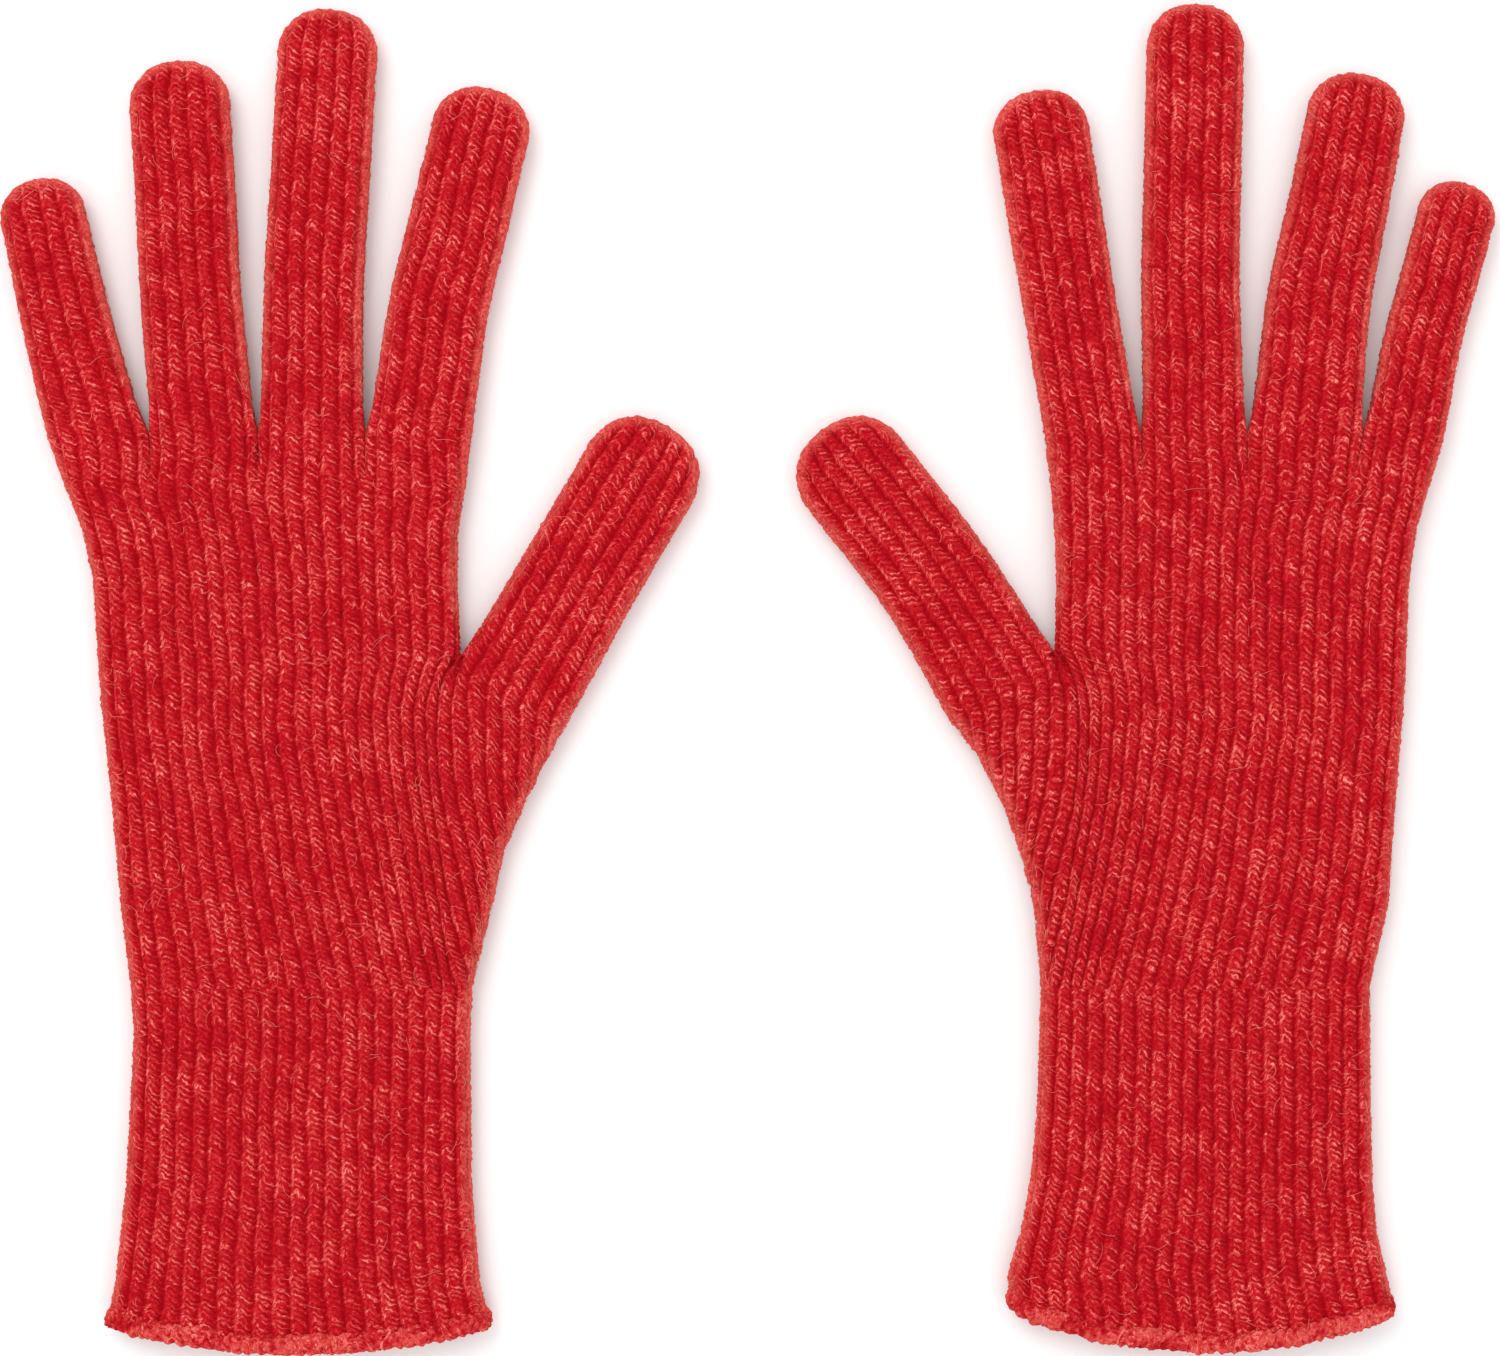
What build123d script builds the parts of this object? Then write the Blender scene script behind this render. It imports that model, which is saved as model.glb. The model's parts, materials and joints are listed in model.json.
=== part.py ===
import os
from math import cos, radians, sin

from build123d import *

# A pair of ribbed knitted gloves, lying flat side by side with the palms up. Millimetres.
# Z = 0 is the surface they lie on, the fingers point along +Y, and X runs across the pair.
#
# Every section of a glove is a flattened tube: two layers of fabric that join in a round side edge.
# A section is described by chords across it, each from one side edge to the other. In the tables
# below a glove is written in its own terms: u runs across it, from the middle of its wrist towards
# its thumb, so that a right-hand and a left-hand glove read alike, and y is the pair's own Y.

# fabric
THICKNESS = 8.0  # a flattened tube, both layers and the air between them
WALL = 1.6  # one layer of ribbed knit
MIDDLE = THICKNESS / 2
FOLD_GAP = 0.4  # clearance where one section folds on the next
FINGER_GAP = 0.4  # clearance between neighbouring fingers at their roots

# levels, from the hem up
WRIST_Y = -66.5  # narrowest line, between the cuff and the hand
FINGER_Y = 51.7  # the line where the four finger tubes begin
EDGE_HEIGHT = 5.0  # the rolled cast-on edge of the cuff
BELOW_HEM = -152.0  # the cuff tube is drawn down to here, then trimmed to the hem's curve

# where a finger folds, as shares of its length from the finger line
KNUCKLE_FOLD = 0.38
TIP_FOLD = 0.68
FINGERS = ("little", "ring", "middle", "index")

CROTCH_OVERLAP = (-1.0, -0.4)  # how far the thumb's root reaches into the palm, in u and y
THUMB_SETBACK = 1.7  # the thumb tube starts this much clear of the palm's side edge

RIGHT = dict(
    name="right",
    x=-96.0,  # middle of the wrist, along the pair's X
    towards_thumb=1,  # the thumb is on the +X side
    hem_low_y=-145.0,  # lowest point of the hem, at the glove's middle
    hem_radius=160.0,
    # chords as (y, u of the little-finger side, u of the thumb side)
    cuff=[(-76, -36.2, 36.7), (-108, -37.8, 37.0), (-130, -40.2, 38.8), (BELOW_HEM, -44.5, 44.5)],
    wrist=(-36.9, 37.2),
    lower_hand=[(-48.9, -39.1, 36.8), (-27.4, -40.9, 36.2), (-5.9, -43.2, 35.2)],
    thumb_line=(4.8, -44.0, 34.6),  # the chord at the level of the thumb's crotch
    upper_hand=[(21.0, -45.0, 34.0), (31.7, -47.3, 34.1), (42.5, -51.6, 35.9)],
    finger_edges=(-55.0, -32.5, -9.2, 13.8, 37.2),  # side edges of the four fingers, at FINGER_Y
    # side edges of the thumb's root, as chords from the inner (u, y) to the outer (u, y)
    thumb_root=[
        ((6.0, -48.9), (41.5, -48.9)),
        ((12.0, -34.0), (43.9, -38.2)),
        ((20.0, -18.0), (48.4, -27.4)),
        ((27.0, -6.0), (53.8, -16.7)),
    ],
    thumb_outer=(58.5, -8.5),  # outer end of the line where the thumb tube begins
    # leans towards the thumb in degrees, below and above the middle fold, length, width at the tip
    little=(-15.2, -12.8, 57.2, 19.2),
    ring=(-5.2, -3.3, 81.3, 22.4),
    middle=(1.0, 3.4, 92.3, 22.2),
    index=(8.6, 13.3, 76.7, 22.0),
    # the thumb's two stretches as (lean, length), and its width at the tip
    thumb=((30.4, 26.0), (30.4, 26.1), 26.2),
)

LEFT = dict(
    name="left",
    x=98.4,
    towards_thumb=-1,
    hem_low_y=-144.6,
    hem_radius=109.0,
    cuff=[(-92, -35.9, 36.4), (-108, -36.3, 37.9), (-119, -37.2, 40.0), (BELOW_HEM, -44.5, 50.0)],
    wrist=(-35.7, 35.7),
    lower_hand=[(-48.9, -39.7, 35.4), (-27.4, -41.2, 34.6), (-5.9, -43.0, 33.4)],
    thumb_line=(5.9, -43.6, 32.7),
    upper_hand=[(21.0, -44.2, 32.3), (31.7, -45.8, 32.7), (42.5, -48.9, 33.7)],
    finger_edges=(-51.8, -33.7, -9.0, 13.7, 34.9),
    thumb_root=[
        ((6.0, -48.9), (37.2, -48.9)),
        ((12.0, -34.0), (40.0, -38.2)),
        ((19.0, -18.0), (43.9, -27.4)),
        ((25.5, -5.0), (49.5, -16.7)),
    ],
    thumb_outer=(55.3, -9.3),
    little=(-11.0, -15.0, 56.4, 17.4),
    ring=(-6.2, -11.2, 79.3, 21.8),
    middle=(1.3, -1.2, 93.3, 21.6),
    index=(9.7, 9.3, 75.7, 21.4),
    thumb=((32.0, 26.8), (37.5, 28.1), 25.8),
)


def on_pair(glove, u, y):
    """A glove's own (u, y) as a point of the pair's plan."""
    return Vector(glove["x"] + glove["towards_thumb"] * u, y)


def ahead(lean):
    """Unit vector along a finger that leans by so many degrees from +Y towards +X."""
    return Vector(sin(radians(lean)), cos(radians(lean)))


def chord(a, b, shift=0.0):
    """The chord from a to b, ordered along +X and moved square to itself by shift, towards +Y."""
    if a.X > b.X:
        a, b = b, a
    across = (b - a).normalized()
    step = Vector(-across.Y, across.X) * shift
    return a + step, b + step


def level(glove, y, little_side, thumb_side):
    """The chord across a glove at one y."""
    return chord(on_pair(glove, little_side, y), on_pair(glove, thumb_side, y))


def square_chord(centre, lean, width):
    """The chord of that width, square to a finger at a point of its centreline."""
    across = Vector(ahead(lean).Y, -ahead(lean).X) * (width / 2)
    return centre - across, centre + across


def section_plane(a, b):
    """The upright plane that holds a chord, with its x along the chord."""
    across = (b - a).normalized()
    centre = (a + b) * 0.5
    return Plane(
        origin=(centre.X, centre.Y, MIDDLE),
        x_dir=(across.X, across.Y, 0),
        z_dir=(across.Y, -across.X, 0),
    )


def outline(chords, inset=0.0, mode=Mode.ADD):
    """A straight-sided loft through the round-edged section at each chord."""
    sections = []
    for a, b in chords:
        with BuildSketch(section_plane(a, b)) as section:
            SlotOverall((b - a).length - 2 * inset, THICKNESS - 2 * inset)
        sections.append(section.sketch.face())
    loft(sections, ruled=True, mode=mode)


def tube(chords):
    """A flattened tube of fabric, open at both ends."""
    with BuildPart() as node:
        outline(chords)
        outline(chords, WALL, Mode.SUBTRACT)
    return node


def save(node, name):
    node.part.label = name
    export_step(node.part, f"parts/{name}.step")


def cuff_tube(glove):
    top = level(glove, WRIST_Y - FOLD_GAP, *glove["wrist"])
    return [top] + [level(glove, *row) for row in glove["cuff"]]


def hem_disc(glove, inset, mode):
    """Cuts with a disc, through all the fabric, whose lower rim is the hem's curve."""
    centre = on_pair(glove, 0, glove["hem_low_y"] + glove["hem_radius"])
    with BuildSketch(Plane.XY.offset(MIDDLE)) as disc:
        with Locations((centre.X, centre.Y)):
            Circle(glove["hem_radius"] - inset)
    extrude(disc.sketch, amount=THICKNESS, both=True, mode=mode)


def cuff(glove):
    """The ribbed cuff, down to the line where its cast-on edge begins."""
    with BuildPart() as node:
        outline(cuff_tube(glove))
        outline(cuff_tube(glove), WALL, Mode.SUBTRACT)
        hem_disc(glove, EDGE_HEIGHT, Mode.INTERSECT)
    save(node, f"{glove['name']}_cuff")


def cuff_edge(glove):
    """The rolled cast-on edge, a band that follows the curve of the hem."""
    with BuildPart() as node:
        outline(cuff_tube(glove))
        outline(cuff_tube(glove), WALL, Mode.SUBTRACT)
        hem_disc(glove, 0, Mode.INTERSECT)
        hem_disc(glove, EDGE_HEIGHT, Mode.SUBTRACT)
    save(node, f"{glove['name']}_cuff_edge")


def thumb_root_line(glove):
    """The chord where the thumb tube begins, from its crotch to the palm's outer edge."""
    y, _, u = glove["thumb_line"]
    inner = on_pair(glove, u + CROTCH_OVERLAP[0], y + CROTCH_OVERLAP[1])
    return inner, on_pair(glove, *glove["thumb_outer"])


def lower_hand(glove):
    """The hand below the thumb's crotch: the palm's tube and the thumb's root grow out of one wrist."""
    wrist = level(glove, WRIST_Y, *glove["wrist"])
    palm = [wrist] + [level(glove, *row) for row in glove["lower_hand"] + [glove["thumb_line"]]]
    root = [level(glove, WRIST_Y, 0.0, glove["wrist"][1])]
    root += [chord(on_pair(glove, *a), on_pair(glove, *b)) for a, b in glove["thumb_root"]]
    root += [chord(*thumb_root_line(glove))]
    with BuildPart() as node:
        outline(palm)
        outline(root)
        outline(palm, WALL, Mode.SUBTRACT)
        outline(root, WALL, Mode.SUBTRACT)
    save(node, f"{glove['name']}_lower_hand")


def upper_hand(glove):
    """The hand between the thumb's crotch and the roots of the fingers."""
    rows = [glove["thumb_line"]] + glove["upper_hand"]
    edges = glove["finger_edges"]
    rows += [(FINGER_Y - FOLD_GAP / 2, edges[0], edges[-1])]
    save(tube([level(glove, *row) for row in rows]), f"{glove['name']}_upper_hand")


def closure(glove, finger, centre, lean, width):
    """The gathered end of a finger: half of a flat round pillow of fabric, open towards the finger."""
    across = Vector(ahead(lean).Y, -ahead(lean).X)
    side_on = Plane(
        origin=(centre.X, centre.Y, MIDDLE),
        x_dir=(across.X, across.Y, 0),
        z_dir=(across.Y, -across.X, 0),
    )
    with BuildPart() as node:
        with BuildSketch(side_on):
            SlotOverall(width, THICKNESS)
            SlotOverall(width - 2 * WALL, THICKNESS - 2 * WALL, mode=Mode.SUBTRACT)
            far_half = (Align.MAX, Align.CENTER)
            Rectangle(width, THICKNESS, align=far_half, mode=Mode.SUBTRACT)
        upright = Axis((centre.X, centre.Y, MIDDLE), (0, 0, 1))
        revolve(axis=upright, revolution_arc=180)
    save(node, f"{glove['name']}_{finger}_closure")


def finger_path(glove, number):
    """A finger's root chord, then its sections as (centre, lean, width): at the middle fold, at the
    fold of the tip, and at the cap's centre. The lean here is from +Y towards +X."""
    base_lean, far_lean, length, tip_width = glove[FINGERS[number]]
    base_lean, far_lean = base_lean * glove["towards_thumb"], far_lean * glove["towards_thumb"]
    near = glove["finger_edges"][number] + FINGER_GAP / 2
    far = glove["finger_edges"][number + 1] - FINGER_GAP / 2
    root = level(glove, FINGER_Y + FOLD_GAP / 2, near, far)
    root_width = (far - near) * cos(radians(base_lean))
    to_cap = length - tip_width / 2

    def width(distance):
        return root_width + (tip_width - root_width) * distance / to_cap

    bend_at = KNUCKLE_FOLD * length
    bend = on_pair(glove, (near + far) / 2, FINGER_Y) + ahead(base_lean) * bend_at
    sections = [(bend, (base_lean + far_lean) / 2, width(bend_at))]
    for distance in (TIP_FOLD * length, to_cap):
        centre = bend + ahead(far_lean) * (distance - bend_at)
        sections.append((centre, far_lean, width(distance)))
    return root, sections


def fold_chords(centre, lean, width):
    """The two chords that face each other across a fold."""
    fold = square_chord(centre, lean, width)
    return chord(*fold, -FOLD_GAP / 2), chord(*fold, FOLD_GAP / 2)


def finger(glove, number):
    """One finger: three stretches of tube that fold on each other, and its closed end."""
    root, (bend, tip, cap) = finger_path(glove, number)
    below_bend, above_bend = fold_chords(*bend)
    below_tip, above_tip = fold_chords(*tip)
    stretches = {
        "base": [root, below_bend],
        "middle": [above_bend, below_tip],
        "tip": [above_tip, square_chord(*cap)],
    }
    for name, chords in stretches.items():
        save(tube(chords), f"{glove['name']}_{FINGERS[number]}_{name}")
    closure(glove, FINGERS[number], *cap)


def thumb_path(glove):
    """The thumb's root chord, then its sections as (centre, lean, width): at its fold and its cap."""
    inner, outer = thumb_root_line(glove)
    clear = (outer - inner).normalized() * THUMB_SETBACK
    root = chord(inner + clear, outer, FOLD_GAP)
    (base_lean, base_length), (tip_lean, tip_length), tip_width = glove["thumb"]
    base_lean, tip_lean = base_lean * glove["towards_thumb"], tip_lean * glove["towards_thumb"]
    fold = (inner + outer) * 0.5 + ahead(base_lean) * base_length
    cap = fold + ahead(tip_lean) * tip_length
    fold_width = ((root[1] - root[0]).length + tip_width) / 2
    return root, (fold, (base_lean + tip_lean) / 2, fold_width), (cap, tip_lean, tip_width)


def thumb(glove):
    """The thumb: two stretches of tube that fold on each other, and its closed end."""
    root, fold, cap = thumb_path(glove)
    below, above = fold_chords(*fold)
    save(tube([root, below]), f"{glove['name']}_thumb_base")
    save(tube([above, square_chord(*cap)]), f"{glove['name']}_thumb_tip")
    closure(glove, "thumb", *cap)


os.makedirs("parts", exist_ok=True)
for glove in (RIGHT, LEFT):
    cuff_edge(glove)
    cuff(glove)
    lower_hand(glove)
    upper_hand(glove)
    thumb(glove)
    for number in range(len(FINGERS)):
        finger(glove, number)
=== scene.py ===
import json
import math

import bpy
import numpy as np
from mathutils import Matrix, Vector, kdtree


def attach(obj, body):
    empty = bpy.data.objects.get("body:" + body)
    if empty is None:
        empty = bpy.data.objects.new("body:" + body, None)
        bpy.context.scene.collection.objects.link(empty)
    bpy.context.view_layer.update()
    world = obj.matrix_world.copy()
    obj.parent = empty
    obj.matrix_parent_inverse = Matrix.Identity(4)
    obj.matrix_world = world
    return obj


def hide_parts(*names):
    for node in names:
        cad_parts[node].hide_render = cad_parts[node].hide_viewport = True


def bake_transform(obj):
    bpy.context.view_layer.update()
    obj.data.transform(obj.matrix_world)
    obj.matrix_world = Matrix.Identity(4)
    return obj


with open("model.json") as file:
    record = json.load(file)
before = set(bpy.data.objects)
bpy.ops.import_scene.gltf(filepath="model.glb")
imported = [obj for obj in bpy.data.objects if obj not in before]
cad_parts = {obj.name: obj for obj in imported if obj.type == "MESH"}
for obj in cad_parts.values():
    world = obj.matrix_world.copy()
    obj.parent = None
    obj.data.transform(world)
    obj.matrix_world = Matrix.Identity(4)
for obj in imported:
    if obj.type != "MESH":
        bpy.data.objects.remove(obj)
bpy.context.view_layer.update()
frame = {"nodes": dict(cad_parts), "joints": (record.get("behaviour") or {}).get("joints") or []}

# A pair of ribbed knitted gloves. Lengths are in millimetres until a mesh is made.
# Each section of a glove is a closed skin of knit: an outer face with its ribs and stitches, an
# inner face, and rims at its ends. A section's grid runs round the tube (columns) and along it
# (rows). Columns 0 to n cross the palm side from the little finger's side to the thumb's, and
# columns n to 2n come back across the back of the hand.

MM = 0.001
HANDS = ("right", "left")
FINGERS = ("little", "ring", "middle", "index")

# the knit
COURSE = 1.35  # from one row of stitches to the next
ROWS_PER_COURSE = 4
PALM_RIBS = 23  # across one face of the hand
CUFF_RIBS = 22
FINGER_RIBS = {"little": 6, "ring": 7, "middle": 7, "index": 7}
THUMB_RIBS = 8
COLUMNS_PER_RIB = 8
CUFF_COLUMNS_PER_RIB = 9
RIB_DEPTH = 0.85  # from the crest of a rib to the valley beside it
CLOTH = 2.0  # from the crest of a rib to the inner face
INNER_ROW_STEP = 6  # the inner face has one row for so many of the outer face's
INNER_WAVE = 0.2  # height of the inner face's ribs
INNER_SHADE = -1.0  # the depth that its yarn is coloured for

# one stitch: its legs, in shares of a rib across and in courses along
THIN_LEG, THIN_SLOPE = 0.20, 2.6  # where the thin steep leg is on the rib, and what it climbs
THIN_HEIGHT, THIN_REACH = 0.34, 0.17
WIDE_LEG, WIDE_SLOPE = 0.66, 1.8  # the wide slanting leg
WIDE_HEIGHT, WIDE_REACH = 0.52, 0.32
BARE_RIB_DEPTH = -0.5  # of a rib's crest without its legs

# uneven knitting: (size, wavelength in mm, seed) of the ripples that are added up
WOBBLE = ((0.06, 30, 3), (0.045, 7, 4))  # of a rib, sideways, in ribs
SLIP = ((0.22, 14, 5), (0.14, 4, 6), (0.07, 1.8, 10))  # of the stitches along a rib, in courses
HEM_LUMPS = ((0.20, 1.5, 22), (0.18, 2.6, 23), (0.20, 8, 24))
RIPPLE_WAVES = 7
RIPPLE_SIZE = 2.6  # what a ripple's waves are divided by, for about unit size
ROUGH = 0.05  # random height of each vertex
UNEVEN, SETTLE = 0.07, 0.05  # height of gentle waves in the cloth, and how far it all sinks
FUZZ_HEIGHT = 0.09  # of the waves in the hazy band
RIM_WANDER = 0.35  # how much that band's inner side wanders

# the shape
ROUNDING = 5.0  # how far in from its side edge a flattened tube reaches its full thickness
ROUNDING_SHARE = 0.46  # the most of a tube's width that this may take
EDGE_POWER = 2.2  # of the side edge's round profile
CROWN = 0.06  # share of the thickness that a face gains towards its middle
CAP_POWER = 2.3  # of a fingertip's outline
CAP_SQUEEZE = 0.35  # share of a fingertip's narrowing that its ribs take up; the rest run off it
CAP_GATHER = 0.3  # the ribs sink together where the fingertip is narrower than this share
POLE_DEPTH = -0.35
LOBE_LENGTH = 14.0  # over which the hand parts into fingers, and the palm parts from the thumb
ROUND_EXTRA = 2.1  # what one rounded edge adds to the width of a face, measured over it
RIM_WIDTH = 2.9  # of the band along a silhouette edge where the ribs flatten, loose hairs gather and the colour is painted lighter as sheen
JOIN_FADE = 0.8  # the ribs sink this far from a join between sections
JOIN_DEPTH = -0.5
SAME_PLACE = 0.03  # points of two sections that are this near each other are one point
GUSSET_AT_WRIST = 5.0  # width that the thumb's ribs still have at the wrist
GUSSET_SLOPE = 0.65  # at the crotch, of the line where the thumb's ribs meet the palm's
GUSSET_SHIFT = 6.0  # how far that line moves into the palm while it turns upright
GUSSET_LEAN = 6  # the higher, the fewer of the palm's ribs move with it
BLEND = 11.0  # length of fabric reckoned onward from a fold
CUFF_BLEND = 1.25 * BLEND
RIM_DEPTH = -0.25  # the ribs flatten out towards this at a silhouette edge
RIM_FLAT, CAP_RIM_FLAT = 0.45, 0.85  # how much they do
WEB = 2.1  # half the thickness left between two fingers at their crotch
WEB_REACH = 2.0  # from a silhouette edge, where the web reaches that thickness
INNER_WEB = 0.15  # half the least space between a section's two inner faces
INNER_REACH = 6.0  # the inner face is drawn in from the side edges, fading over this width
INSIDE = 0.5  # how far inside a node its side edges are read
JUST_INSIDE = 0.05  # the same, near a node's end
CROTCH_RIM_FADE = 14.0  # the hazy band grows over this length from a crotch
TOUCH_LENGTH = 9.0  # two fingers press together over this length from their crotch
TOUCH_WIDTH = 2.5
TOUCH_DEPTH = 0.1  # how far they press past the smooth skin
CUFF_CORNER = 6.0  # above the hem's corners, where the cuff's side edges are straight again
NEIGHBOURS = {  # which of a finger's two side edges end in a crotch
    "little": (0, 1),
    "ring": (1, 1),
    "middle": (1, 1),
    "index": (1, 0),
    "thumb": (1, 0),
}

# the cast-on edge and the loose hairs of the wool
HEM = 2.8  # height of the cast-on edge below the cuff's ribs
HEM_OVERLAP = 0.7  # how far it reaches up over them
HEM_THICK = 2.9
HEM_PROUD = 0.2  # how far it stands out past them
HEM_SHEEN = 0.24  # painted sheen over the whole cast-on edge
LOOPS_PER_RIB = 2
LOOP_LEAN = 0.45
SAMPLES_PER_CAST_ON_RIB = 32
SAMPLES_ROUND_HEM = 32
FIBRES_PER_VERTEX = 0.0016
EDGE_FIBRES = 30.0  # how much denser the hairs are in the hazy band
FIBRE_LENGTHS = (1.4, 5.0)
FIBRE_CURL = 2.2  # the most that a hair turns, in radians
FIBRE_SUNK = 0.2  # depth of a hair's two ends, and what is added to it in the hazy band
FIBRE_SUNK_AT_RIM = 0.3
FIBRE_STEPS = 7
FIBRE_SIDES = 3
FIBRE_RADIUS = 0.05
HAIR_SHEEN_RIM = 1.4  # the rim attribute on a loose hair, which gives it the painted sheen and the light hair colour


# ---- the frame's outlines

def mesh_of(node):
    """A CAD node's vertices in mm, and its edges."""
    mesh = frame["nodes"][node].data
    co = np.empty(len(mesh.vertices) * 3)
    mesh.vertices.foreach_get("co", co)
    edges = np.empty(len(mesh.edges) * 2, int)
    mesh.edges.foreach_get("vertices", edges)
    return co.reshape(-1, 3) / MM, edges.reshape(-1, 2)


MESHES = {node: mesh_of(node) for node in frame["nodes"]}


def span(node, point, across):
    """Where the upright plane through a plan point, along a plan direction, cuts a node: its two
    extreme plan points, in the direction's order."""
    co, edges = MESHES[node]
    across = np.asarray(across, float)[:2]
    normal = np.array([-across[1], across[0]])
    side = (co[:, :2] - point) @ normal
    a, b = side[edges[:, 0]], side[edges[:, 1]]
    cut = a * b < 0
    share = (a[cut] / (a[cut] - b[cut]))[:, None]
    crossing = co[edges[cut, 0]] * (1 - share) + co[edges[cut, 1]] * share
    reach = (crossing[:, :2] - point) @ across
    return point + across * reach.min(), point + across * reach.max()


def node_low(node):
    return MESHES[node][0].min(0)


def node_high(node):
    return MESHES[node][0].max(0)


JOINTS = {joint["name"]: joint for joint in frame["joints"]}
THICK = node_high("right_lower_hand")[2]
HALF = THICK / 2


def joint_plan(name):
    """A fold's plan point, and the plan direction along it."""
    joint = JOINTS[name]
    return np.array(joint["pos_m"][:2]) / MM, np.array(joint["axis"][:2], float)


# ---- small helpers

norm = np.linalg.norm


def smooth(x):
    x = np.clip(x, 0, 1)
    return x * x * (3 - 2 * x)


def mix(a, b, share):
    return a + (b - a) * share


def unit(vectors):
    return vectors / np.maximum(norm(vectors, axis=-1, keepdims=True), 1e-9)


def running_total(steps):
    return np.concatenate([[0], np.cumsum(steps)])


def ripple(x, y, wavelength, seed):
    """A smooth random field of about unit size over the plane."""
    rng = np.random.default_rng(seed)
    total = 0
    for turn in rng.uniform(0, math.pi, RIPPLE_WAVES):
        wave = 2 * math.pi / wavelength * rng.uniform(0.6, 1.5)
        phase = rng.uniform(0, 6.28)
        total = total + np.sin(wave * (x * math.cos(turn) + y * math.sin(turn)) + phase)
    return total / RIPPLE_SIZE


def ripples(x, y, parts):
    return sum(size * ripple(x, y, wavelength, seed) for size, wavelength, seed in parts)


def curve_through(knots, values, at):
    """Smooth curve through values at knots (Catmull-Rom), at any parameter between them."""
    knots, values = np.asarray(knots, float), np.asarray(values, float)
    slopes = np.gradient(values, knots, axis=0)
    k = np.clip(np.searchsorted(knots, at, side="right") - 1, 0, len(knots) - 2)
    gap = knots[k + 1] - knots[k]
    t = ((at - knots[k]) / gap)[:, None]
    gap = gap[:, None]
    return (
        (2 * t**3 - 3 * t**2 + 1) * values[k]
        + (t**3 - 2 * t**2 + t) * gap * slopes[k]
        + (3 * t**2 - 2 * t**3) * values[k + 1]
        + (t**3 - t**2) * gap * slopes[k + 1]
    )


def half_thickness(inset, width):
    """Half the tube's thickness at a distance in from its side edge."""
    reach = np.minimum(ROUNDING, ROUNDING_SHARE * width)
    edge = 1 - np.clip(inset / reach, 0, 1)
    crown = CROWN * np.sin(math.pi * np.clip(inset / width, 0, 1))
    return HALF * (np.sqrt(np.clip(1 - edge**EDGE_POWER, 0, 1)) * (1 - CROWN) + crown)


def even_fractions(width, count):
    """Fractions across a flattened tube, spaced evenly over its curved face."""
    fine = (1 - np.cos(np.linspace(0, math.pi, 600))) / 2
    z = half_thickness(np.minimum(fine, 1 - fine) * width, width)
    length = running_total(np.hypot(np.diff(fine) * width, np.diff(z)))
    return np.interp(np.linspace(0, length[-1], count + 1), length, fine)


def lobe_half(share, width):
    """Half thickness at a share of the way across a tube of its own."""
    return half_thickness(np.minimum(share, 1 - share) * width, width)


def with_web(half, inset):
    """Half thickness kept above the web of fabric that is left where fingers part."""
    return np.maximum(half, WEB * smooth(inset / WEB_REACH))


def count_rows(length):
    return max(4, int(round(length / COURSE)) * ROWS_PER_COURSE)


# ---- sections

def all_round(front, back=None):
    """Values of the palm side's columns 0 to n, run on over the back's from n + 1 to 2n - 1."""
    back = front if back is None else back
    return np.concatenate([front, back[:, -2:0:-1]], axis=1)


class Section:
    """One section's grid. It has the plan points (rows, n+1, 2) of one face and, each as
    (rows, n+1), the half thickness, the distance in from the silhouette edges, the knit's rib and
    course coordinates, and how much the fabric is pressed against a neighbour (touch)."""

    def __init__(self, plan, half, inset, rib, course, fade_low=False, fade_high=False):
        self.plan, self.half, self.inset = plan, half, inset
        self.rib, self.course = rib, course
        self.fade_low, self.fade_high = fade_low, fade_high
        self.touch = np.zeros(rib.shape)
        self.n = plan.shape[1] - 1
        self.pole = None  # the point where a fingertip's ribs gather

    def base(self):
        """The smooth skin as a grid (rows, 2n, 3)."""
        front = np.concatenate([self.plan, (HALF + self.half)[..., None]], axis=2)
        back = np.concatenate([self.plan, (HALF - self.half)[..., None]], axis=2)
        return all_round(front, back)

    def knit(self):
        """Rib and course coordinates over the same grid, mirrored on the back."""
        return all_round(self.rib, -self.rib), all_round(self.course)

    def open_ends(self):
        return (0, -1) if self.pole is None else (0,)


def grid_normals(points, pole=False):
    """Outward normals of a grid that closes round its columns."""
    along = np.gradient(points, axis=0)
    around = np.roll(points, -1, axis=1) - np.roll(points, 1, axis=1)
    normal = np.cross(around, along)
    if pole:
        normal[-1] = along[-1]
    return unit(normal)


def bump(x, middle, reach):
    """A round-shouldered bump of height 1."""
    return np.clip(1 - np.abs(x - middle) / reach, 0, 1) ** 0.6


def relief(rib, course):
    """Depth of the knit's face below the crests, from its rib and course coordinates."""
    r = rib - np.floor(rib)
    ridge = 1 - np.abs(2 * r - 1) ** 1.9
    steep = 0.5 + 0.5 * np.cos(2 * math.pi * (course - THIN_SLOPE * (r - THIN_LEG)))
    slant = 0.5 + 0.5 * np.cos(2 * math.pi * (course + WIDE_SLOPE * (r - WIDE_LEG)))
    thin = THIN_HEIGHT * bump(r, THIN_LEG, THIN_REACH) * (0.6 + 0.4 * steep)
    wide = WIDE_HEIGHT * bump(r, WIDE_LEG, WIDE_REACH) * slant**0.8
    return -RIB_DEPTH * (1 - ridge) + BARE_RIB_DEPTH + (thin + wide)


def end_fade(section, base):
    """0 where a section joins another across its ribs, rising to 1 within the section."""
    step = norm(np.diff(base, axis=0), axis=2)
    along = np.concatenate([np.zeros((1, base.shape[1])), np.cumsum(step, axis=0)])
    fade = np.ones(base.shape[:2])
    if section.fade_low:
        fade = fade * smooth(along / JOIN_FADE)
    if section.fade_high:
        fade = fade * smooth((along[-1:] - along) / JOIN_FADE)
    return fade


# ---- the plan of one glove

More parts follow.
